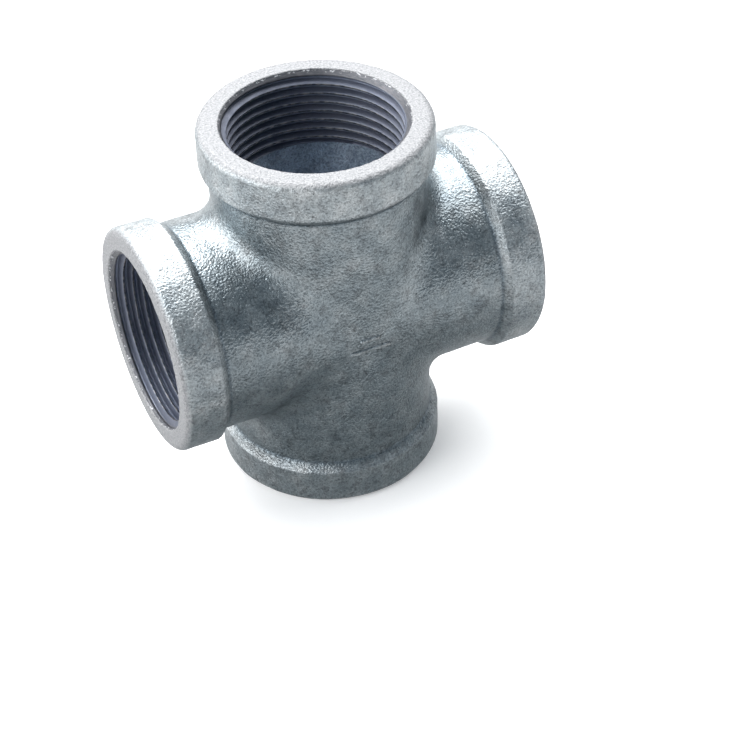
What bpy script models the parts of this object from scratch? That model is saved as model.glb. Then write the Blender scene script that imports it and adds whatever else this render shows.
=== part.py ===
"""Galvanised malleable-iron pipe cross, DN 32 (1 1/4 inch), with four equal threaded outlets.

The real fitting is one casting. It is modelled as five regions that meet at the plane where a
screwed-in pipe stops: the hub in the middle, and one socket for each outlet. A narrow slit keeps
neighbouring regions apart.

Frame: the origin is where the two bores cross. +Z is the top outlet, +X the right one, and the
plane of the four outlets is XZ.
"""

import math

import bmesh
import bpy

MM = 0.001

# Driving dimensions
FACE_DISTANCE = 45.0 * MM  # from the crossing to each end face
PIPE_STOP = 26.0 * MM  # from the crossing to the end of a screwed-in pipe
NECK_RADIUS = 24.4 * MM
BAND_RADIUS = 26.3 * MM
BAND_WIDTH = 8.8 * MM  # from the end face to where the shoulder starts to slope down
THREAD_PITCH = 2.309 * MM  # 11 threads an inch
THREAD_MAJOR_RADIUS = 41.910 / 2 * MM
THREAD_DEPTH = 1.479 * MM

# The casting's smaller shapes
NECK_FILLET = 5.0 * MM  # where two necks run into each other
WIDER_FILLET = 20.0 * MM  # what that fillet gains towards the front and the back
RIM_ROUNDING = 1.8 * MM  # the band's outer edge at the end face
SHOULDER_SLOPE = 45  # degrees between the neck's wall and the band's sloping shoulder
SHOULDER_ROUNDING = 0.8 * MM  # the band's edge at the top of that slope
FOOT_FILLET = 1.2 * MM  # where the slope runs out on the neck
MOUTH_RADIUS = 21.1 * MM  # the wide end of the mouth's chamfer
CHAMBER_RADIUS = 20.6 * MM  # the cast bore behind the threads

# The thread's form
THREAD_MINOR_RADIUS = THREAD_MAJOR_RADIUS - THREAD_DEPTH
CREST_FLAT = THREAD_PITCH / 6  # the root flat is the same, which makes the flanks 27.5 degrees

SLIT = 0.3 * MM
TAP_OVERRUN = 0.1 * MM  # how far the tap's flanks run on into the open bore
SLIVER = 0.005 * MM  # points closer than this are one point
CLEAR = 2.0 * MM  # how far a cutter runs past what it cuts
SEGMENTS = 32  # round a full circle
SKIN_ROWS = 5  # from the crossing out to the band
ARC_STEPS = 2

TURNS = {"top": 0, "right": 1, "bottom": 2, "left": 3}  # quarter turns about +Y from the top outlet
ZINC = (0.50, 0.54, 0.55, 1.0)


def collection(name):
    made = bpy.data.collections.new(name)
    bpy.context.scene.collection.children.link(made)
    return made


def zinc_material(name):
    made = bpy.data.materials.new(name)
    made.use_nodes = True
    shader = made.node_tree.nodes["Principled BSDF"]
    shader.inputs["Base Color"].default_value = ZINC
    shader.inputs["Metallic"].default_value = 0.9
    shader.inputs["Roughness"].default_value = 0.42
    return made


def mesh_object(name, mesh, holder):
    made = bpy.data.objects.new(name, mesh)
    holder.objects.link(made)
    return made


def mark_as_cutter(cutter):
    cutter.hide_render = True
    cutter.display_type = "WIRE"


def arc(centre_r, centre_z, radius, start, end):
    """Points (r, z) of an arc in the section plane, from one angle to the other."""
    points = []
    for step in range(ARC_STEPS + 1):
        angle = math.radians(start + (end - start) * step / ARC_STEPS)
        points.append((centre_r + radius * math.cos(angle), centre_z + radius * math.sin(angle)))
    return points


def beyond_crossing(angle, height, radius):
    """Above zero outside two crossing pipes with a fillet between them, and below zero inside."""
    x = radius * math.cos(angle)
    y = radius * math.sin(angle)
    other_radius = math.hypot(y, height)
    past_own = radius - NECK_RADIUS
    past_other = other_radius - NECK_RADIUS
    # Where the two walls turn parallel, at the front and the back, the fillet widens and flattens out.
    alignment = y * y / (radius * max(other_radius, 1e-9))
    fillet = max((NECK_FILLET + WIDER_FILLET * alignment**3) * (1 - alignment), 1e-9)
    if past_own >= fillet or past_other >= fillet or abs(x) < 1e-12:
        return min(past_own, past_other)
    return fillet - math.hypot(max(fillet - past_own, 0), max(fillet - past_other, 0))


def crossing_radius(angle, height):
    """The skin's distance from an outlet's axis, found by halving an interval."""
    low = 0.9 * NECK_RADIUS
    high = 2 * NECK_RADIUS
    for _ in range(40):
        middle = (low + high) / 2
        if beyond_crossing(angle, height, middle) > 0:
            high = middle
        else:
            low = middle
    return (low + high) / 2


def seam_height(angle):
    """The height where the skin meets the diagonal plane that it shares with the next outlet."""
    low = 0.0
    high = 2 * NECK_RADIUS
    for _ in range(40):
        middle = (low + high) / 2
        if middle > abs(math.cos(angle)) * crossing_radius(angle, middle):
            high = middle
        else:
            low = middle
    return (low + high) / 2


def band_profile():
    """Points (r, z) from the neck up the sloping shoulder, round the band and over its rim."""
    slope = math.radians(SHOULDER_SLOPE)
    band_start = FACE_DISTANCE - BAND_WIDTH
    climb = BAND_RADIUS - NECK_RADIUS - (FOOT_FILLET + SHOULDER_ROUNDING) * (1 - math.cos(slope))
    run = (FOOT_FILLET + SHOULDER_ROUNDING) * math.sin(slope) + climb / math.tan(slope)
    foot = arc(NECK_RADIUS + FOOT_FILLET, band_start - run, FOOT_FILLET, 180, 180 - SHOULDER_SLOPE)
    shoulder_r = BAND_RADIUS - SHOULDER_ROUNDING
    shoulder = arc(shoulder_r, band_start, SHOULDER_ROUNDING, -SHOULDER_SLOPE, 0)
    rim_r = BAND_RADIUS - RIM_ROUNDING
    rim = arc(rim_r, FACE_DISTANCE - RIM_ROUNDING, RIM_ROUNDING, 0, 90)
    return foot + shoulder + rim


def outlet_rings():
    """The outside of one quarter of the casting, as rings of points about +Z."""
    angles = [math.tau * step / SEGMENTS for step in range(SEGMENTS)]
    profile = band_profile()
    neck_end = profile[0][1]
    rings = []
    for row in range(SKIN_ROWS):
        ring = []
        for angle in angles:
            start = seam_height(angle)
            height = start + (neck_end - start) * row / SKIN_ROWS
            radius = crossing_radius(angle, height)
            ring.append((radius * math.cos(angle), radius * math.sin(angle), height))
        rings.append(ring)
    for radius, height in profile:
        rings.append([(radius * math.cos(a), radius * math.sin(a), height) for a in angles])
    return rings


def quarter_turned(point, turns):
    """A point after so many quarter turns about +Y, which take +Z to +X."""
    x, y, z = point
    for _ in range(turns):
        x, z = z, -x
    return (x, y, z)


def casting_mesh():
    """The whole casting before its bores are cut: a loft from the crossing out to each face."""
    shape = bmesh.new()
    rings = outlet_rings()
    for turns in TURNS.values():
        rows = [[shape.verts.new(quarter_turned(p, turns)) for p in ring] for ring in rings]
        for lower, upper in zip(rows, rows[1:]):
            for step in range(SEGMENTS):
                after = (step + 1) % SEGMENTS
                shape.faces.new((lower[step], lower[after], upper[after], upper[step]))
        shape.faces.new(rows[-1])
    bmesh.ops.remove_doubles(shape, verts=shape.verts, dist=0.001 * MM)
    bmesh.ops.recalc_face_normals(shape, faces=shape.faces)
    mesh = bpy.data.meshes.new("casting")
    shape.to_mesh(mesh)
    shape.free()
    return mesh


def core_cutter(name, holder):
    """The bore along Z from face to face: cast chamber, thread stretches and mouth chamfers."""
    chamfer_start = FACE_DISTANCE - (MOUTH_RADIUS - THREAD_MINOR_RADIUS)
    past_face = FACE_DISTANCE + CLEAR
    upper = [
        (0, past_face),
        (MOUTH_RADIUS, past_face),
        (MOUTH_RADIUS, FACE_DISTANCE),
        (THREAD_MINOR_RADIUS, chamfer_start),
        (THREAD_MINOR_RADIUS, PIPE_STOP),
        (CHAMBER_RADIUS, PIPE_STOP),
    ]
    profile = upper + [(r, -z) for r, z in reversed(upper)]
    mesh = bpy.data.meshes.new(name)
    edges = [(step, step + 1) for step in range(len(profile) - 1)]
    mesh.from_pydata([(r, 0, z) for r, z in profile], edges, [])
    cutter = mesh_object(name, mesh, holder)
    turn = cutter.modifiers.new("turn", "SCREW")
    turn.axis = "Z"
    turn.angle = math.tau
    turn.steps = SEGMENTS
    turn.render_steps = SEGMENTS
    turn.use_merge_vertices = True
    turn.merge_threshold = 0.01 * MM
    mark_as_cutter(cutter)
    return cutter


def tap_cutter(name, holder):
    """The helical groove of the top outlet's thread, as one solid wound up the axis."""
    root = CREST_FLAT / 2
    slope = (THREAD_PITCH / 2 - CREST_FLAT) / THREAD_DEPTH
    crest = THREAD_MINOR_RADIUS - TAP_OVERRUN
    mouth = root + slope * (THREAD_MAJOR_RADIUS - crest)
    inner = crest - CLEAR / 2
    section = [
        (inner, mouth),
        (crest, mouth),
        (THREAD_MAJOR_RADIUS, root),
        (THREAD_MAJOR_RADIUS, -root),
        (crest, -mouth),
        (inner, -mouth),
    ]
    low = PIPE_STOP - CLEAR
    steps = math.ceil((FACE_DISTANCE + CLEAR - low) / THREAD_PITCH * SEGMENTS)
    shape = bmesh.new()
    rings = []
    for step in range(steps + 1):
        angle = math.tau * step / SEGMENTS
        rise = low + THREAD_PITCH * step / SEGMENTS
        ring = [(r * math.cos(angle), r * math.sin(angle), rise + z) for r, z in section]
        rings.append([shape.verts.new(point) for point in ring])
    for near, far in zip(rings, rings[1:]):
        for corner in range(len(section)):
            after = (corner + 1) % len(section)
            shape.faces.new((near[corner], near[after], far[after], far[corner]))
    shape.faces.new(rings[0])
    shape.faces.new(rings[-1])
    bmesh.ops.recalc_face_normals(shape, faces=shape.faces)
    mesh = bpy.data.meshes.new(name)
    shape.to_mesh(mesh)
    shape.free()
    cutter = mesh_object(name, mesh, holder)
    mark_as_cutter(cutter)
    return cutter


def region_box(name, low, high, holder):
    """A box from one corner to the other, for keeping only the part of the casting inside it."""
    bpy.ops.mesh.primitive_cube_add(size=1)
    box = bpy.context.object
    box.name = name
    for owner in list(box.users_collection):
        owner.objects.unlink(box)
    holder.objects.link(box)
    box.location = [(a + b) / 2 for a, b in zip(low, high)]
    box.scale = [b - a for a, b in zip(low, high)]
    mark_as_cutter(box)
    return box


def boolean(target, cutter, operation):
    modifier = target.modifiers.new(cutter.name, "BOOLEAN")
    modifier.operation = operation
    modifier.object = cutter
    modifier.solver = "EXACT"


def evaluated_mesh(target):
    """The object's mesh with its modifiers applied and slivers closed up, shaded smooth."""
    bpy.context.view_layer.update()
    graph = bpy.context.evaluated_depsgraph_get()
    mesh = bpy.data.meshes.new_from_object(target.evaluated_get(graph))
    shape = bmesh.new()
    shape.from_mesh(mesh)
    bmesh.ops.remove_doubles(shape, verts=shape.verts, dist=SLIVER)
    bmesh.ops.dissolve_degenerate(shape, edges=shape.edges, dist=SLIVER)
    shape.to_mesh(mesh)
    shape.free()
    mesh.shade_smooth()
    mesh.set_sharp_from_angle(angle=math.radians(32))
    return mesh


def add_hub(parts, cutters, core_z, core_x):
    """The crossing of the four necks, up to the planes where the pipes stop."""
    reach = PIPE_STOP - SLIT / 2
    depth = NECK_RADIUS + CLEAR
    region = region_box("hub_region", (-reach, -depth, -reach), (reach, depth, reach), cutters)
    blank = mesh_object("hub_blank", casting_mesh(), cutters)
    boolean(blank, core_z, "DIFFERENCE")
    boolean(blank, core_x, "DIFFERENCE")
    boolean(blank, region, "INTERSECT")
    hub = mesh_object("hub", evaluated_mesh(blank), parts)
    bpy.data.objects.remove(blank)
    hub.data.materials.clear()
    hub.data.materials.append(zinc_material("galvanised_hub"))


def add_outlets(parts, cutters, core_z):
    """One threaded socket, made at the top and then placed at all four outlets."""
    side = BAND_RADIUS + CLEAR / 2
    low = (-side, -side, PIPE_STOP + SLIT / 2)
    high = (side, side, FACE_DISTANCE + CLEAR)
    region = region_box("outlet_region", low, high, cutters)
    tap = tap_cutter("tap", cutters)
    blank = mesh_object("outlet_blank", casting_mesh(), cutters)
    boolean(blank, core_z, "DIFFERENCE")
    boolean(blank, tap, "DIFFERENCE")
    boolean(blank, region, "INTERSECT")
    mesh = evaluated_mesh(blank)
    bpy.data.objects.remove(blank)
    for side_name, turns in TURNS.items():
        outlet = mesh_object(f"{side_name}_outlet", mesh.copy(), parts)
        outlet.rotation_euler = (0, turns * math.pi / 2, 0)
        outlet.data.materials.clear()
        outlet.data.materials.append(zinc_material(f"galvanised_{side_name}_outlet"))
    bpy.data.meshes.remove(mesh)


def main():
    for old in list(bpy.data.objects):
        bpy.data.objects.remove(old)
    parts = collection("pipe_cross")
    cutters = collection("cutters")
    core_z = core_cutter("core_z", cutters)
    core_x = core_cutter("core_x", cutters)
    core_x.rotation_euler = (0, math.pi / 2, 0)
    add_hub(parts, cutters, core_z, core_x)
    add_outlets(parts, cutters, core_z)


main()
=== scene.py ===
"""Looks of a galvanised DN 32 pipe cross: a cast zinc-coated skin, and the bare iron of its cut threads.

Every outlet is the same shape, so one outlet is worked out about +Z and turned into the other three.
The skin is one surface: the pieces of the hub and of the four outlets meet point for point, and their
normals are worked out before they are parted, so no line shows where they meet.
"""

import itertools
import math

import bpy
import numpy as np
from mathutils import Matrix, Vector


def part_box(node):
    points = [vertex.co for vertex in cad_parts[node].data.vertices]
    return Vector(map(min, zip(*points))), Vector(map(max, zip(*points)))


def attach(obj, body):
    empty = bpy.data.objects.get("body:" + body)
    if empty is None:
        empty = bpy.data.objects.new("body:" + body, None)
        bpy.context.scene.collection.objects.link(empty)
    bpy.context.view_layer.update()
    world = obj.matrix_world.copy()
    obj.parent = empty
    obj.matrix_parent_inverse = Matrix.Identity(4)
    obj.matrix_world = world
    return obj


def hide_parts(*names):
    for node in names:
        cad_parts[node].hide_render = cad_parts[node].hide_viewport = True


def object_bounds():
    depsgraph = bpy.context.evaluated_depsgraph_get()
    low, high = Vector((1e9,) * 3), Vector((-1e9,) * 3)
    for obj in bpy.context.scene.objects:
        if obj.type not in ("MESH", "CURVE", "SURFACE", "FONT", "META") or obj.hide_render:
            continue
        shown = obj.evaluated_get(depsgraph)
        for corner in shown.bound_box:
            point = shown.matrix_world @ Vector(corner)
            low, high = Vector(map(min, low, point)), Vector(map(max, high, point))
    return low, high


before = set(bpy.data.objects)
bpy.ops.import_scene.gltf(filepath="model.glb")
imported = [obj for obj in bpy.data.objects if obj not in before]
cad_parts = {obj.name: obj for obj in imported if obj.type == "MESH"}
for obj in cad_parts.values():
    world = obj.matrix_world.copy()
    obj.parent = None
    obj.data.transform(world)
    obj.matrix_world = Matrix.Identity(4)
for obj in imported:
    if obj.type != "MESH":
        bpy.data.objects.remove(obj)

CAD_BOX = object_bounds()
MM = 0.001

# Sizes that the frame gives
TOP_LOW, TOP_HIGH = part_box("top_outlet")
HUB_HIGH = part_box("hub")[1]
FACE_DISTANCE = TOP_HIGH.z
BAND_RADIUS = TOP_HIGH.x
NECK_RADIUS = HUB_HIGH.y
PIPE_STOP = (TOP_LOW.z + HUB_HIGH.z) / 2
FLOOR_HEIGHT = CAD_BOX[0][2] - 0.06 * MM  # just under the lowest bumps of the cast surface

# The casting's smaller shapes, as in the CAD
BAND_WIDTH = 8.8 * MM  # from the end face to where the shoulder starts to slope down
NECK_FILLET = 5.0 * MM
WIDER_FILLET = 20.0 * MM  # what that fillet gains towards the front and the back
RIM_ROUNDING = 1.8 * MM
SHOULDER_SLOPE = 45  # degrees
SHOULDER_ROUNDING = 0.8 * MM
FOOT_FILLET = 1.2 * MM
CHAMBER_RADIUS = 20.6 * MM
MOUTH_RADIUS = 21.1 * MM
MOUTH_ROUNDING = 0.35 * MM

# The thread, as in the CAD
THREAD_PITCH = 2.309 * MM
THREAD_MAJOR_RADIUS = 41.910 / 2 * MM
THREAD_DEPTH = 1.479 * MM
THREAD_MINOR_RADIUS = THREAD_MAJOR_RADIUS - THREAD_DEPTH
THREAD_START = PIPE_STOP - 2 * MM  # where a groove's middle crosses the +X side
CREST_FLAT = THREAD_PITCH / 6

# How fine the meshes are
COARSER = 1
AROUND = 416 // COARSER  # columns round an outlet
CELL = 0.37 * MM * COARSER
THREAD_AROUND = 288 // COARSER
MARK_CELL = 0.14 * MM
HALVINGS = 45  # how often an interval is halved to find a surface in it

TUCK = 0.2 * MM  # how far the threads' chamfer runs on under the skin's ragged lip

# Layers of noise on the surfaces, each as (height, distance between bumps, seed)
WAVES = ((0.10 * MM, 9 * MM, 11), (0.045 * MM, 4 * MM, 12))
PEEL = ((0.024 * MM, 1.9 * MM, 14), (0.026 * MM, 1.0 * MM, 15))
RAGGED_LIP = ((0.07 * MM, 1.6 * MM, 16), (0.05 * MM, 0.8 * MM, 17))
PEEL_PATCHES = 14 * MM  # how far apart the strongly peeled places are
THREAD_ROUGHNESS = 0.012 * MM
THREAD_GRAIN = 0.9 * MM

# The cast mark: level bars as (height above the crossing, half the length)
MARK_BARS = ((-2.2 * MM, 4.6 * MM), (0.6 * MM, 2.0 * MM))
MARK_BAR_RADIUS = 0.4 * MM
MARK_HEIGHT = 0.45 * MM
MARK_SINK = 0.04 * MM  # how far the mark's patch lies under the skin round the bars
MARK_PATCH = (14 * MM, 8 * MM)

STREAK_TURNS = 14  # how often the turning marks at the mouth break off, round the axis
STREAK_WIDTH = 0.22 * MM

TURNS = {"top": 0, "right": 1, "bottom": 2, "left": 3}  # quarter turns about +Y from the top outlet


# --- noise -----------------------------------------------------------------------------------------


def noise(points, size, seed):
    """Smooth noise from about -1 to 1 at each point, with bumps about half a size across."""
    random = np.random.default_rng(seed)
    gradients = random.normal(size=(256, 3))
    gradients /= np.linalg.norm(gradients, axis=1)[:, None]
    shuffled = random.permutation(256)
    scaled = points / size
    cell = np.floor(scaled).astype(int)
    local = scaled - cell
    fade = local**3 * (local * (local * 6 - 15) + 10)
    total = np.zeros(len(points))
    for corner in itertools.product((0, 1), repeat=3):
        index = np.zeros(len(points), int)
        for axis in range(3):
            index = shuffled[(index + cell[:, axis] + corner[axis]) % 256]
        weight = np.prod(np.where(corner, fade, 1 - fade), axis=1)
        total += weight * (gradients[index] * (local - corner)).sum(axis=1)
    return 1.6 * total


def layered_noise(points, layers):
    return sum(height * noise(points, size, seed) for height, size, seed in layers)


# --- the casting's shape ---------------------------------------------------------------------------


def beyond_crossing(angle, height, radius):
    """Above zero outside two crossing pipes with a fillet between them, and below zero inside."""
    y = radius * np.sin(angle)
    other_radius = np.maximum(np.hypot(y, height), 1e-9)
    past_own = radius - NECK_RADIUS
    past_other = other_radius - NECK_RADIUS
    # The fillet gets wider, but shallower, where the two walls turn parallel at the front and the back.
    alike = y * y / (radius * other_radius)
    fillet = np.maximum((NECK_FILLET + WIDER_FILLET * alike**3) * (1 - alike), 1e-9)
    near = np.hypot(np.maximum(fillet - past_own, 0), np.maximum(fillet - past_other, 0))
    outside = (past_own >= fillet) | (past_other >= fillet)
    return np.where(outside, np.minimum(past_own, past_other), fillet - near)


def crossover(shape, low, high, is_beyond):
    """The values between low and high from which is_beyond is true, found by halving the interval."""
    low = np.full(shape, low)
    high = np.full(shape, high)
    for _ in range(HALVINGS):
        middle = (low + high) / 2
        beyond = is_beyond(middle)
        high = np.where(beyond, middle, high)
        low = np.where(beyond, low, middle)
    return (low + high) / 2


def crossing_radius(angle, height):
    """The skin's distance from the outlet's axis."""

    def is_outside(radius):
        return beyond_crossing(angle, height, radius) > 0

    return crossover(np.shape(height), 0.9 * NECK_RADIUS, 2 * NECK_RADIUS, is_outside)


def seam_height(angle, radius_at):
    """The height where a wall meets the diagonal plane that it shares with the next outlet."""

    def is_above(height):
        return height > np.abs(np.cos(angle)) * radius_at(angle, height)

    return crossover(np.shape(angle), 0.0, 2 * NECK_RADIUS, is_above)


def arc(centre_r, centre_z, radius, start, end, steps):
    """Points (r, z) of an arc in the section plane, from one angle to the other."""
    angles = np.radians(np.linspace(start, end, steps + 1))
    return [(centre_r + radius * math.cos(a), centre_z + radius * math.sin(a)) for a in angles]


def line(start, end):
    """Points (r, z) from start up to but not including end, one cell apart."""
    steps = max(1, round(math.dist(start, end) / CELL))
    return [tuple(np.array(start) + (np.array(end) - start) * k / steps) for k in range(steps)]


def band_profile():
    """Points (r, z) up the sloping shoulder, round the band, over its rim and in to the mouth's edge."""
    slope = math.radians(SHOULDER_SLOPE)
    band_start = FACE_DISTANCE - BAND_WIDTH
    climb = BAND_RADIUS - NECK_RADIUS - (FOOT_FILLET + SHOULDER_ROUNDING) * (1 - math.cos(slope))
    run = (FOOT_FILLET + SHOULDER_ROUNDING) * math.sin(slope) + climb / math.tan(slope)
    foot = arc(NECK_RADIUS + FOOT_FILLET, band_start - run, FOOT_FILLET, 180, 180 - SHOULDER_SLOPE, 4)
    shoulder_r = BAND_RADIUS - SHOULDER_ROUNDING
    shoulder = arc(shoulder_r, band_start, SHOULDER_ROUNDING, -SHOULDER_SLOPE, 0, 4)
    rim_r = BAND_RADIUS - RIM_ROUNDING
    rim = arc(rim_r, FACE_DISTANCE - RIM_ROUNDING, RIM_ROUNDING, 0, 90, 10)
    lip_r = MOUTH_RADIUS + MOUTH_ROUNDING
    lip = arc(lip_r, FACE_DISTANCE - MOUTH_ROUNDING, MOUTH_ROUNDING, 90, 180, 4)
    ramp = line(foot[-1], shoulder[0])
    side = line(shoulder[-1], rim[0])
    face = line(rim[-1], lip[0])
    return foot[:-1] + ramp + shoulder[:-1] + side + rim[:-1] + face + lip


# --- grids of points -------------------------------------------------------------------------------


def columns(count):
    """The angles of a ring, with the first one again at the end."""
    return np.linspace(0, math.tau, count + 1)


def ring_points(angle, radius, height):
    return np.stack([radius * np.cos(angle), radius * np.sin(angle), height], axis=-1)


def hub_grid(radius_at, count):
    """Rows from the pipe stop down to the seam. Below the seam, a column's points are all one point."""
    angle = columns(count)
    seam = seam_height(angle, radius_at)
    rows = math.ceil(PIPE_STOP / CELL) + 1
    height = PIPE_STOP - CELL * np.arange(rows + 1)[:, None] + 0 * angle
    below = height < seam + 0.3 * CELL
    height = np.where(below, seam, height)
    angle = angle + 0 * height
    radius = radius_at(angle, height)
    height = np.where(below, np.abs(radius * np.cos(angle)), height)
    return ring_points(angle, radius, height)[::-1]


def outlet_grid():
    """The skin from the pipe stop out over the band and in to the mouth."""
    angle = columns(AROUND)
    profile = band_profile()
    neck_end = profile[0][1]
    rows = round((neck_end - PIPE_STOP) / CELL)
    height = PIPE_STOP + (neck_end - PIPE_STOP) * np.arange(rows)[:, None] / rows + 0 * angle
    neck = ring_points(angle + 0 * height, crossing_radius(angle + 0 * height, height), height)
    band = [ring_points(angle, np.full(len(angle), r), np.full(len(angle), z)) for r, z in profile]
    return np.concatenate([neck, np.array(band)])


def thread_wave():
    """One pitch of the thread, groove to groove, as (height, radius) with rounded corners."""
    flat = CREST_FLAT / 2
    bevel = 0.12 * THREAD_PITCH / 2
    corners = [
        (0, THREAD_MAJOR_RADIUS),
        (flat - 0.4 * bevel, THREAD_MAJOR_RADIUS),
        (flat + 0.6 * bevel, THREAD_MAJOR_RADIUS - 0.9 * bevel),
        (THREAD_PITCH / 4, THREAD_MAJOR_RADIUS - THREAD_DEPTH / 2),
        (THREAD_PITCH / 2 - flat - 0.6 * bevel, THREAD_MINOR_RADIUS + 0.9 * bevel),
        (THREAD_PITCH / 2 - flat + 0.4 * bevel, THREAD_MINOR_RADIUS),
    ]
    mirrored = [(THREAD_PITCH - z, r) for z, r in reversed(corners[1:])]
    return corners + mirrored


def thread_radius(angle, height):
    """The tapped wall's distance from the axis: the thread, opened out by the mouth's chamfer."""
    wave = thread_wave() + [(THREAD_PITCH, THREAD_MAJOR_RADIUS)]
    along = (height - THREAD_START - THREAD_PITCH * angle / math.tau) % THREAD_PITCH
    thread = np.interp(along, [z for z, _ in wave], [r for _, r in wave])
    chamfer = MOUTH_RADIUS - (FACE_DISTANCE - MOUTH_ROUNDING - height)
    return np.maximum(thread, chamfer)


def thread_grid():
    """Rows that follow the helix, cut off level at the pipe stop and at the mouth's edge."""
    angle = columns(THREAD_AROUND)
    heights = np.array([z for z, _ in thread_wave()])
    turns = math.ceil((FACE_DISTANCE - THREAD_START) / THREAD_PITCH) + 1
    rise = (THREAD_PITCH * np.arange(-1, turns)[:, None] + heights).ravel()
    height = THREAD_START + rise[:, None] + THREAD_PITCH * angle / math.tau
    height = np.clip(height, PIPE_STOP, FACE_DISTANCE - MOUTH_ROUNDING + TUCK)
    angle = angle + 0 * height
    wall = ring_points(angle, thread_radius(angle, height), height)
    ledge = ring_points(angle[0], np.full(len(angle[0]), CHAMBER_RADIUS), height[0])
    return np.concatenate([ledge[None], wall])[::-1]


# --- one mesh from the grids -----------------------------------------------------------------------


def quarter_turned(points, turns):
    """Points after so many quarter turns about +Y, which take +Z to +X."""
    for _ in range(turns):
        points = np.stack([points[..., 2], points[..., 1], -points[..., 0]], axis=-1)
    return points


def grid_faces(rows, cols, first):
    """Corner numbers of a grid's quads. With columns counter-clockwise, going up faces outwards."""
    corner = first + np.arange(rows * cols).reshape(rows, cols)
    return np.stack([corner[:-1, :-1], corner[:-1, 1:], corner[1:, 1:], corner[1:, :-1]], axis=-1)


class Surface:
    """Grids gathered into one surface, with shared points and a piece name for each face."""

    def __init__(self):
        self.points = []
        self.faces = []
        self.owners = []
        self.count = 0

    def add(self, grid, owner, turns, inward=False):
        grid = grid[::-1] if inward else grid
        rows, cols = grid.shape[:2]
        faces = grid_faces(rows, cols, self.count).reshape(-1, 4)
        self.points.append(quarter_turned(grid, turns).reshape(-1, 3))
        self.faces.append(faces)
        self.owners += [owner] * len(faces)
        self.count += rows * cols

    def welded(self):
        """Points, faces and owners after equal points are joined and empty faces dropped."""
        points = np.concatenate(self.points)
        _, first, number = np.unique(
            np.round(points / (0.001 * MM)), axis=0, return_index=True, return_inverse=True
        )
        faces = number.ravel()[np.concatenate(self.faces)]
        a, b, c, d = faces.T
        empty = ((a == b) & (c == d)) | ((a == d) & (b == c)) | (a == c) | (b == d)
        return points[first], faces[~empty], np.array(self.owners)[~empty]


def vertex_normals(points, faces):
    """Each point's normal, from the faces round it, with large faces counting more."""
    a, b, c, d = (points[faces[:, k]] for k in range(4))
    face_normals = np.cross(c - a, d - b)
    normals = np.zeros_like(points)
    for k in range(4):
        np.add.at(normals, faces[:, k], face_normals)
    return normals / np.maximum(np.linalg.norm(normals, axis=1), 1e-20)[:, None]


def piece_from(name, points, normals, faces):
    """An object with these faces and their points only. The given normals are kept."""
    used, corners = np.unique(faces, return_inverse=True)
    corners = corners.reshape(faces.shape)
    loops = [[v for k, v in enumerate(f) if v != f[k - 1]] for f in corners.tolist()]
    mesh = bpy.data.meshes.new(name)
    mesh.from_pydata(points[used].tolist(), [], loops)
    mesh.shade_smooth()
    mesh.normals_split_custom_set_from_vertices(normals[used].tolist())
    made = bpy.data.objects.new(name, mesh)
    bpy.context.scene.collection.objects.link(made)
    return made


def float_attribute(piece, name, values):
    attribute = piece.data.attributes.new(name, "FLOAT", "POINT")
    attribute.data.foreach_set("value", values.astype(np.float32))


# --- the cast skin ---------------------------------------------------------------------------------


def own_axis(points):
    """Each point's distance out along its nearest outlet's axis, and its distance from that axis."""
    along_x = np.abs(points[:, 0])
    along_z = np.abs(points[:, 2])
    beside = np.where(along_x > along_z, along_z, along_x)
    return np.maximum(along_x, along_z), np.hypot(beside, points[:, 1])


def ramp_between(values, low, high):
    """0 below low, 1 above high, and smooth between."""
    part = np.clip((values - low) / (high - low), 0, 1)
    return part * part * (3 - 2 * part)


def cast_relief(points):
    """How far the sand-cast, dipped surface stands out from the drawn one."""
    along, beside = own_axis(points)
    waves = layered_noise(points, WAVES)
    patchy = 0.8 + 0.5 * noise(points, PEEL_PATCHES, 13)
    peel = layered_noise(points, PEEL)
    face = ramp_between(along, FACE_DISTANCE - 0.7 * MM, FACE_DISTANCE - 0.1 * MM)
    lip = ramp_between(along, FACE_DISTANCE - 0.5 * MM, FACE_DISTANCE - 0.2 * MM)
    lip *= 1 - ramp_between(beside, MOUTH_RADIUS + 0.1 * MM, MOUTH_RADIUS + 0.7 * MM)
    ragged = lip * layered_noise(points, RAGGED_LIP)
    # The end faces are cut off flat, so they are much less wavy.
    return waves * (1 - 0.85 * face) + peel * patchy * (1 - 0.3 * face) + ragged


def finish_skin(piece, points):
    """Marks the end faces, the bands (painted lighter), a painted shade at each band's foot, and the
    inside of the crossing (painted bluer for its shade).
    """
    along, beside = own_axis(points)
    foot = band_profile()[2][1]  # the middle of the fillet at the band's foot
    face = ramp_between(along, FACE_DISTANCE - 1.3 * MM, FACE_DISTANCE - 0.2 * MM)
    # Painted shade: a dark line along the fillet at each band's foot.
    painted_foot_shade = np.exp(-(((along - foot) / (0.4 * MM)) ** 2))
    inside = (beside < CHAMBER_RADIUS + 1 * MM) & (along < PIPE_STOP + 1 * MM)
    float_attribute(piece, "face", face)
    float_attribute(piece, "painted_foot_shade", painted_foot_shade)
    # The bands get a lighter colour: partly frostier zinc, and partly a painted reflection of the brighter
    # floor further out.
    float_attribute(piece, "band", ramp_between(along, foot, foot + 1.5 * MM))
    float_attribute(piece, "inside", inside)


def skin_surface():
    surface = Surface()
    hub = hub_grid(crossing_radius, AROUND)
    outlet = outlet_grid()
    chamber = hub_grid(lambda angle, height: CHAMBER_RADIUS + 0 * height, THREAD_AROUND)
    for side, turns in TURNS.items():
        surface.add(hub, "hub", turns)
        surface.add(outlet, side, turns)
        surface.add(chamber, "hub", turns, inward=True)
    return surface.welded()


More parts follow.
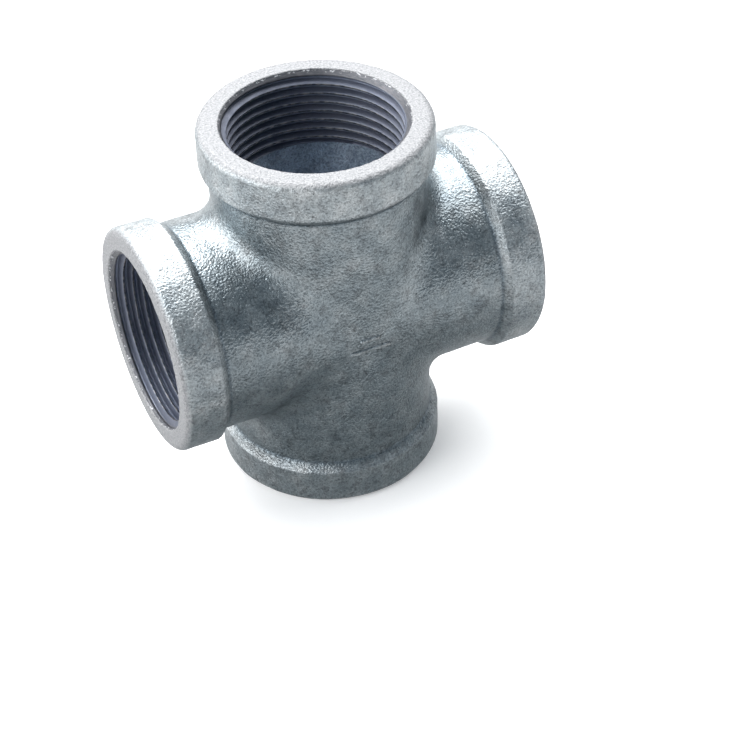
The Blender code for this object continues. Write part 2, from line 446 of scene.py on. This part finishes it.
def add_skin(material):
    drawn, faces, owners = skin_surface()
    points = drawn + vertex_normals(drawn, faces) * cast_relief(drawn)[:, None]
    normals = vertex_normals(points, faces)
    for owner in ["hub", *TURNS]:
        node = "hub" if owner == "hub" else f"{owner}_outlet"
        own = faces[owners == owner]
        piece = piece_from(f"{node}_skin", points, normals, own)
        finish_skin(piece, drawn[np.unique(own)])
        piece.data.materials.append(material)
        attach(piece, "root")
        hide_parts(node)


def front_depth(x, z):
    """How far in front of the bores' plane the skin is at (x, z)."""

    def is_outside(depth):
        return beyond_crossing(np.arctan2(depth, x), z, np.hypot(x, depth)) > 0

    return crossover(x.shape, 0.6 * NECK_RADIUS, 1.2 * NECK_RADIUS, is_outside)


def bar_distance(points, height, half_length):
    """Each point's distance from a level bar with round ends, as seen from the front."""
    along = np.maximum(np.abs(points[:, 0]) - half_length, 0)
    return np.hypot(along, points[:, 2] - height) - MARK_BAR_RADIUS


def add_cast_mark(material):
    """Two plain raised bars, cast on the front of the hub."""
    across, upward = (np.linspace(-side / 2, side / 2, round(side / MARK_CELL) + 1) for side in MARK_PATCH)
    x, z = np.meshgrid(across, upward)
    drawn = np.stack([x, -front_depth(x, z), z], axis=-1)
    surface = Surface()
    surface.add(drawn, "mark", 0)
    points, faces, _ = surface.welded()
    edge = np.min([bar_distance(points, *bar) for bar in MARK_BARS], axis=0)
    raised = 1 - ramp_between(edge, -0.1 * MM, 0.25 * MM)
    # Painted shade: a dark ring round the foot of each raised bar.
    bar_foot_shade = np.exp(-(((edge - 0.13 * MM) / (0.1 * MM)) ** 2))
    uneven = 1 + 0.2 * noise(points, 1.1 * MM, 31)
    lift = cast_relief(points) + raised * uneven * MARK_HEIGHT - MARK_SINK
    points = points + vertex_normals(points, faces) * lift[:, None]
    piece = piece_from("cast_mark", points, vertex_normals(points, faces), faces)
    # The raised bars share the bands' rougher finish and lighter colour, which is partly painted light.
    float_attribute(piece, "band", raised)
    float_attribute(piece, "painted_foot_shade", bar_foot_shade)
    piece.data.materials.append(material)
    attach(piece, "root")


# --- the cut threads -------------------------------------------------------------------------------


def add_threads(material):
    """Each thread is made about +Z and its object turned, so that its material knows its own axis."""
    surface = Surface()
    surface.add(thread_grid(), "thread", 0)
    points, faces, _ = surface.welded()
    radius = np.hypot(points[:, 0], points[:, 1])
    depth = np.clip((radius - THREAD_MINOR_RADIUS) / THREAD_DEPTH, 0, 1)
    normals = vertex_normals(points, faces)
    for side, turns in TURNS.items():
        rough = THREAD_ROUGHNESS * noise(points, THREAD_GRAIN, 21 + turns)
        rough_points = points + normals * rough[:, None]
        name = f"{side}_outlet_thread"
        piece = piece_from(name, rough_points, vertex_normals(rough_points, faces), faces)
        float_attribute(piece, "depth", depth)
        float_attribute(piece, "outward", np.clip(normals[:, 2], 0, 1))
        piece.rotation_euler = (0, turns * math.pi / 2, 0)
        piece.data.materials.append(material)
        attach(piece, "root")


# --- materials -------------------------------------------------------------------------------------


class Nodes:
    """A short way to write a material's node tree."""

    def __init__(self, name):
        self.material = bpy.data.materials.new(name)
        self.material.use_nodes = True
        self.tree = self.material.node_tree
        self.shader = self.tree.nodes["Principled BSDF"]
        self.place = self.add("ShaderNodeTexCoord").outputs["Object"]

    def add(self, kind, **settings):
        node = self.tree.nodes.new(kind)
        for key, value in settings.items():
            setattr(node, key, value)
        return node

    def join(self, source, target):
        self.tree.links.new(source, target)

    def noise(self, size, detail=2.0, roughness=0.5):
        """Noise from 0 to 1 with bumps about this many metres across."""
        node = self.add("ShaderNodeTexNoise")
        node.inputs["Scale"].default_value = 1 / size
        node.inputs["Detail"].default_value = detail
        node.inputs["Roughness"].default_value = roughness
        self.join(self.place, node.inputs["Vector"])
        return node.outputs["Fac"]

    def ramp(self, factor, stops):
        """Colours or greys along the factor, as (position, colour) pairs."""
        node = self.add("ShaderNodeValToRGB")
        while len(node.color_ramp.elements) < len(stops):
            node.color_ramp.elements.new(0.5)
        for element, (position, colour) in zip(node.color_ramp.elements, stops):
            element.position = position
            element.color = (*colour, 1) if isinstance(colour, tuple) else (colour, colour, colour, 1)
        self.join(factor, node.inputs["Fac"])
        return node.outputs["Color"]

    def attribute(self, name):
        return self.add("ShaderNodeAttribute", attribute_name=name).outputs["Fac"]

    def height(self):
        """How far out along the object's own Z axis."""
        split = self.add("ShaderNodeSeparateXYZ")
        self.join(self.place, split.inputs[0])
        return split.outputs["Z"]

    def streaks(self):
        """Noise drawn out into long marks round the object's own Z axis."""
        across = self.add("ShaderNodeVectorMath", operation="MULTIPLY")
        across.inputs[1].default_value = (1, 1, 0)
        self.join(self.place, across.inputs[0])
        radius = self.add("ShaderNodeVectorMath", operation="LENGTH")
        self.join(across.outputs["Vector"], radius.inputs[0])
        round_axis = self.add("ShaderNodeVectorMath", operation="NORMALIZE")
        self.join(across.outputs["Vector"], round_axis.inputs[0])
        turn = self.add("ShaderNodeVectorMath", operation="SCALE")
        turn.inputs["Scale"].default_value = STREAK_TURNS
        self.join(round_axis.outputs["Vector"], turn.inputs[0])
        outward = self.sum(self.height(), radius.outputs["Value"], 1.0)
        level = self.add("ShaderNodeMath", operation="DIVIDE")
        level.inputs[1].default_value = STREAK_WIDTH
        self.join(outward, level.inputs[0])
        lift = self.add("ShaderNodeCombineXYZ")
        self.join(level.outputs[0], lift.inputs["Z"])
        place = self.add("ShaderNodeVectorMath", operation="ADD")
        self.join(turn.outputs["Vector"], place.inputs[0])
        self.join(lift.outputs["Vector"], place.inputs[1])
        node = self.add("ShaderNodeTexNoise")
        node.inputs["Scale"].default_value = 1
        node.inputs["Detail"].default_value = 3
        self.join(place.outputs["Vector"], node.inputs["Vector"])
        return node.outputs["Fac"]

    def sum(self, first, second, share):
        """First plus a share of second."""
        node = self.add("ShaderNodeMath", operation="MULTIPLY_ADD")
        node.inputs[1].default_value = share
        self.join(second, node.inputs[0])
        self.join(first, node.inputs[2])
        return node.outputs[0]

    def between(self, value, low, high):
        """0 below low and 1 above high."""
        node = self.add("ShaderNodeMapRange")
        node.inputs["From Min"].default_value = low
        node.inputs["From Max"].default_value = high
        self.join(value, node.inputs["Value"])
        return node.outputs["Result"]

    def mix(self, blend, factor, first, second):
        node = self.add("ShaderNodeMix", data_type="RGBA", blend_type=blend)
        for socket, value in ((node.inputs[0], factor), (node.inputs[6], first), (node.inputs[7], second)):
            if isinstance(value, bpy.types.NodeSocket):
                self.join(value, socket)
            elif isinstance(value, tuple):
                socket.default_value = (*value, 1)
            else:
                socket.default_value = value
        return node.outputs[2]

    def bump(self, height, distance, strength, under=None):
        node = self.add("ShaderNodeBump")
        node.inputs["Distance"].default_value = distance
        node.inputs["Strength"].default_value = strength
        self.join(height, node.inputs["Height"])
        if under is not None:
            self.join(under, node.inputs["Normal"])
        return node.outputs["Normal"]


# Ramps as (position, colour) stops
ZINC_TONES = [(0.3, (0.208, 0.243, 0.265)), (0.5, (0.265, 0.300, 0.318)), (0.7, (0.352, 0.381, 0.395))]
ZINC_FLECKS = [(0.35, 0.56), (0.5, 1.0), (0.65, 1.36)]
ZINC_PITS = [(0.27, 0.32), (0.34, 1.0)]
ZINC_STAINS = [(0.37, (0.58, 0.57, 0.57)), (0.50, (1, 1, 1))]
FROST = [(0.33, (0.13, 0.136, 0.145)), (0.5, (0.228, 0.232, 0.24)), (0.65, (0.30, 0.302, 0.31))]
FLANK = [(0.3, (0.21, 0.245, 0.33)), (0.7, (0.26, 0.29, 0.37))]
CREST = [(0.4, (0.06, 0.068, 0.085)), (0.7, (0.25, 0.245, 0.25))]
TURNED = [(0.3, (0.035, 0.04, 0.05)), (0.7, (0.115, 0.115, 0.125))]

# What the zinc's colour is multiplied by in these places of the skin
# Painted shade at the feet of the bands and the raised bars
PAINTED_FOOT_SHADE_TINT = (0.66, 0.70, 0.74)
# Painted shade: inside the crossing the zinc is tinted bluer, a painted navy cast of its shade
PAINTED_INSIDE_SHADE_TINT = (0.95, 1.04, 1.22)
# Painted light, partly real: bands and raised bars lighter, partly for frostier zinc, partly a painted
# reflection of the brighter floor further out
BAND_PAINTED_LIGHT_TINT = (1.44, 1.38, 1.35)

# Painted shade on the flanks that face the mouth
OUTWARD_FLANK_PAINTED_SHADE = (0.27, 0.27, 0.29)  # what a flank's colour is multiplied by where it faces the mouth
SPLASH = (0.45, 0.46, 0.48)  # zinc that ran in over the mouth's edge


def grey(value):
    return (value, value, value)


def zinc_material():
    """Hot-dip zinc on sand-cast iron: cloudy grey, with an orange-peel skin and frosty cut-off faces."""
    nodes = Nodes("hot_dip_zinc")
    face = nodes.attribute("face")
    inside = nodes.attribute("inside")
    band = nodes.attribute("band")
    clouds = nodes.noise(6 * MM, detail=5, roughness=0.6)
    speckle = nodes.noise(0.5 * MM, detail=3, roughness=0.75)
    stains = nodes.noise(2.6 * MM, detail=6, roughness=0.78)
    pitted = nodes.ramp(nodes.noise(1.25 * MM, detail=2, roughness=0.65), ZINC_PITS)
    in_cloud = nodes.ramp(clouds, [(0.35, 0.2), (0.6, 0.9)])

    zinc = nodes.mix("MULTIPLY", 0.85, nodes.ramp(clouds, ZINC_TONES), nodes.ramp(speckle, ZINC_FLECKS))
    zinc = nodes.mix("MULTIPLY", in_cloud, zinc, pitted)
    zinc = nodes.mix("MULTIPLY", 0.8, zinc, nodes.ramp(stains, ZINC_STAINS))
    # Painted shade at the feet of the bands and the raised bars
    zinc = nodes.mix("MULTIPLY", nodes.attribute("painted_foot_shade"), zinc, PAINTED_FOOT_SHADE_TINT)
    # Painted shade: a bluer, navy cast inside the crossing
    zinc = nodes.mix("MULTIPLY", inside, zinc, PAINTED_INSIDE_SHADE_TINT)
    # Painted light, partly real frost: the bands and raised bars are made lighter
    zinc = nodes.mix("MULTIPLY", band, zinc, BAND_PAINTED_LIGHT_TINT)
    frost = nodes.mix("MULTIPLY", 0.6, nodes.ramp(speckle, FROST), pitted)
    nodes.join(nodes.mix("MIX", face, zinc, frost), nodes.shader.inputs["Base Color"])

    rough = nodes.ramp(nodes.noise(3 * MM, detail=3), [(0.3, 0.29), (0.7, 0.43)])
    rough = nodes.mix("ADD", band, rough, grey(0.08))
    nodes.join(nodes.mix("MIX", face, rough, grey(0.6)), nodes.shader.inputs["Roughness"])
    metal = nodes.mix("MIX", face, grey(0.93), grey(0.45))
    nodes.join(nodes.mix("MIX", inside, metal, grey(0.65)), nodes.shader.inputs["Metallic"])
    peel = nodes.bump(nodes.noise(0.5 * MM, detail=1, roughness=0.4), 0.22 * MM, 0.85)
    grain = nodes.bump(nodes.noise(0.27 * MM, detail=2, roughness=0.6), 0.03 * MM, 0.7, under=peel)
    nodes.join(grain, nodes.shader.inputs["Normal"])
    return nodes.material


def cut_iron_material():
    """Tapped iron: bluish flanks with painted shade where they face the mouth, brighter crests, and a
    turned mouth with zinc run over its edge.
    """
    nodes = Nodes("tapped_iron")
    height = nodes.height()
    flank = nodes.ramp(nodes.noise(5 * MM, detail=3), FLANK)
    # Painted shade: flanks that face the mouth are darkened to about a quarter.
    flank = nodes.mix("MULTIPLY", nodes.attribute("outward"), flank, OUTWARD_FLANK_PAINTED_SHADE)
    crest = nodes.ramp(nodes.noise(1.2 * MM, detail=3), CREST)
    on_crest = nodes.ramp(nodes.attribute("depth"), [(0.01, 1.0), (0.09, 0.0)])
    cut = nodes.mix("MIX", on_crest, flank, crest)
    chamfer_start = FACE_DISTANCE - (MOUTH_RADIUS - THREAD_MINOR_RADIUS)
    at_mouth = nodes.between(height, chamfer_start, chamfer_start + 0.3 * MM)
    cut = nodes.mix("MIX", at_mouth, cut, nodes.ramp(nodes.streaks(), TURNED))
    splash_place = nodes.sum(height, nodes.noise(0.9 * MM, detail=4, roughness=0.7), 3.0 * MM)
    splashed = nodes.between(splash_place, FACE_DISTANCE + 1.15 * MM, FACE_DISTANCE + 1.35 * MM)
    cut = nodes.mix("MIX", splashed, cut, SPLASH)
    nodes.join(cut, nodes.shader.inputs["Base Color"])

    rough = nodes.ramp(nodes.noise(1.5 * MM), [(0.3, 0.36), (0.7, 0.52)])
    nodes.join(rough, nodes.shader.inputs["Roughness"])
    nodes.join(nodes.mix("MIX", on_crest, grey(0.4), grey(0.9)), nodes.shader.inputs["Metallic"])
    marks = nodes.bump(nodes.streaks(), 0.05 * MM, 0.5)
    ragged = nodes.bump(nodes.noise(0.5 * MM, detail=3), 0.05 * MM, 0.6, under=marks)
    nodes.join(ragged, nodes.shader.inputs["Normal"])
    return nodes.material


def floor_material():
    nodes = Nodes("pale_floor")
    shade = nodes.ramp(nodes.noise(60 * MM), [(0.3, 0.79), (0.7, 0.81)])
    nodes.join(shade, nodes.shader.inputs["Base Color"])
    nodes.shader.inputs["Roughness"].default_value = 0.9
    nodes.shader.inputs["Specular IOR Level"].default_value = 0.1
    nodes.shader.inputs["Emission Color"].default_value = (1, 1, 1, 1)
    nodes.shader.inputs["Emission Strength"].default_value = 0.3
    return nodes.material


def card_material():
    """A glow that grows with the distance from the card's middle, which paints a shadow round the object.
    """
    nodes = Nodes("painted_shadow_card")
    squeezed = nodes.add("ShaderNodeVectorMath", operation="MULTIPLY")
    squeezed.inputs[1].default_value = CARD_SQUEEZE
    nodes.join(nodes.place, squeezed.inputs[0])
    away = nodes.add("ShaderNodeVectorMath", operation="LENGTH")
    nodes.join(squeezed.outputs["Vector"], away.inputs[0])
    far = nodes.between(away.outputs["Value"], CARD_NEAR, CARD_FAR)
    # Painted shadow: dark near the card's middle, bright further out.
    glow = nodes.ramp(far, CARD_PAINTED_SHADOW)
    nodes.join(glow, nodes.shader.inputs["Emission Color"])
    nodes.shader.inputs["Emission Strength"].default_value = CARD_STRENGTH
    nodes.shader.inputs["Base Color"].default_value = (0, 0, 0, 1)
    nodes.shader.inputs["Specular IOR Level"].default_value = 0
    return nodes.material


# --- stage, light and camera -----------------------------------------------------------------------

VIEW_AZIMUTH = math.radians(-25.4)
VIEW_ELEVATION = math.radians(39.87)
VIEW_ROLL = math.radians(-1.81)
VIEW_DISTANCE = 446.3 * MM
AIM_RIGHT = 11.95 * MM  # the point looked at, seen from the crossing of the bores
AIM_UP = -21.2 * MM
LENS = 92.22  # millimetres, on a 36 mm sensor

# Lamps as (name, azimuth, elevation, distance, width, height, watts), in degrees and metres
LAMPS = (
    ("back_panel", 165, 60, 1.0, 2.2, 1.3, 32),
    ("key_lamp", 172, 58, 1.2, 0.5, 0.5, 10),
    ("left_panel", -100, 34, 1.0, 1.5, 1.0, 15.5),
)

# The room's pale wall behind, and the dimmer air in front
BACK_AZIMUTH = math.radians(-165)
BACK_ELEVATION = math.radians(8)
FRONT_AIR = (0.22, 0.26, 0.295)
BACK_AIR = (0.86, 0.87, 0.88)

FLOOR_SIZE = 6

# The reflection card, a glowing sheet with a painted shadow of the object: its glow grows from CARD_NEAR
# to CARD_FAR away from its middle
CARD_CENTRE = (-12 * MM, -42 * MM)
CARD_SQUEEZE = (0.6, 1, 1)  # makes the shaded patch wider than it is deep
CARD_NEAR = 26 * MM
CARD_FAR = 95 * MM
CARD_STRENGTH = 1.25
CARD_PAINTED_SHADOW = [(0.0, (0.215, 0.238, 0.252)), (1.0, (0.98, 0.99, 1.0))]


def add_floor():
    """A pale floor. The metal doesn't mirror it, but the reflection card that lies in its place."""
    bpy.ops.mesh.primitive_plane_add(size=FLOOR_SIZE, location=(0, 0, FLOOR_HEIGHT))
    floor = bpy.context.object
    floor.name = "floor"
    floor.data.materials.append(floor_material())
    floor.visible_glossy = False


def add_card():
    """What the metal mirrors of the floor: a glowing card with a painted shadow, dark in front of the
    object and bright further out.
    """
    bpy.ops.mesh.primitive_plane_add(size=FLOOR_SIZE, location=(*CARD_CENTRE, FLOOR_HEIGHT))
    card = bpy.context.object
    card.name = "painted_shadow_card"
    card.data.materials.append(card_material())
    card.visible_camera = False
    card.visible_diffuse = False
    card.visible_shadow = False


def direction(azimuth, elevation):
    """The way from the object to a viewer or a lamp. Azimuth 0 is the front, -Y."""
    flat = math.cos(elevation)
    return Vector((math.sin(azimuth) * flat, -math.cos(azimuth) * flat, math.sin(elevation)))


def add_camera():
    back = direction(VIEW_AZIMUTH, VIEW_ELEVATION)
    level_right = Vector((0, 0, 1)).cross(back).normalized()
    level_up = back.cross(level_right)
    turn = Matrix.Rotation(VIEW_ROLL, 3, back)
    right = turn @ level_right
    up = turn @ level_up
    camera = bpy.data.objects.new("camera", bpy.data.cameras.new("camera"))
    bpy.context.scene.collection.objects.link(camera)
    axes = Matrix((right, up, back)).transposed().to_4x4()
    place = back * VIEW_DISTANCE + right * AIM_RIGHT + up * AIM_UP
    camera.matrix_world = Matrix.Translation(place) @ axes
    camera.data.lens = LENS
    camera.data.clip_start = 0.01
    bpy.context.scene.camera = camera


def add_panel(name, azimuth, elevation, distance, width, height, power):
    """A soft lamp that faces the object."""
    lamp = bpy.data.lights.new(name, "AREA")
    lamp.shape = "RECTANGLE"
    lamp.size = width
    lamp.size_y = height
    lamp.energy = power
    panel = bpy.data.objects.new(name, lamp)
    bpy.context.scene.collection.objects.link(panel)
    way = direction(math.radians(azimuth), math.radians(elevation))
    panel.location = way * distance
    panel.rotation_euler = way.to_track_quat("Z", "Y").to_euler()


def add_world():
    """A dim room with a pale wall behind, which the metal mirrors."""
    world = bpy.data.worlds.new("studio")
    bpy.context.scene.world = world
    world.use_nodes = True
    tree = world.node_tree
    background = tree.nodes["Background"]
    place = tree.nodes.new("ShaderNodeTexCoord")
    toward = tree.nodes.new("ShaderNodeVectorMath")
    toward.operation = "DOT_PRODUCT"
    toward.inputs[1].default_value = direction(BACK_AZIMUTH, BACK_ELEVATION)
    ramp = tree.nodes.new("ShaderNodeValToRGB")
    for element, (position, colour) in zip(ramp.color_ramp.elements, ((0.0, FRONT_AIR), (0.5, BACK_AIR))):
        element.position = position
        element.color = (*colour, 1)
    tree.links.new(place.outputs["Generated"], toward.inputs[0])
    tree.links.new(toward.outputs["Value"], ramp.inputs["Fac"])
    tree.links.new(ramp.outputs["Color"], background.inputs["Color"])
    background.inputs["Strength"].default_value = 1.0


def add_light():
    add_world()
    for lamp in LAMPS:
        add_panel(*lamp)


def main():
    add_camera()
    add_floor()
    add_card()
    add_light()
    zinc = zinc_material()
    add_skin(zinc)
    add_cast_mark(zinc)
    add_threads(cut_iron_material())
    bpy.context.scene.view_settings.view_transform = "Standard"


main()
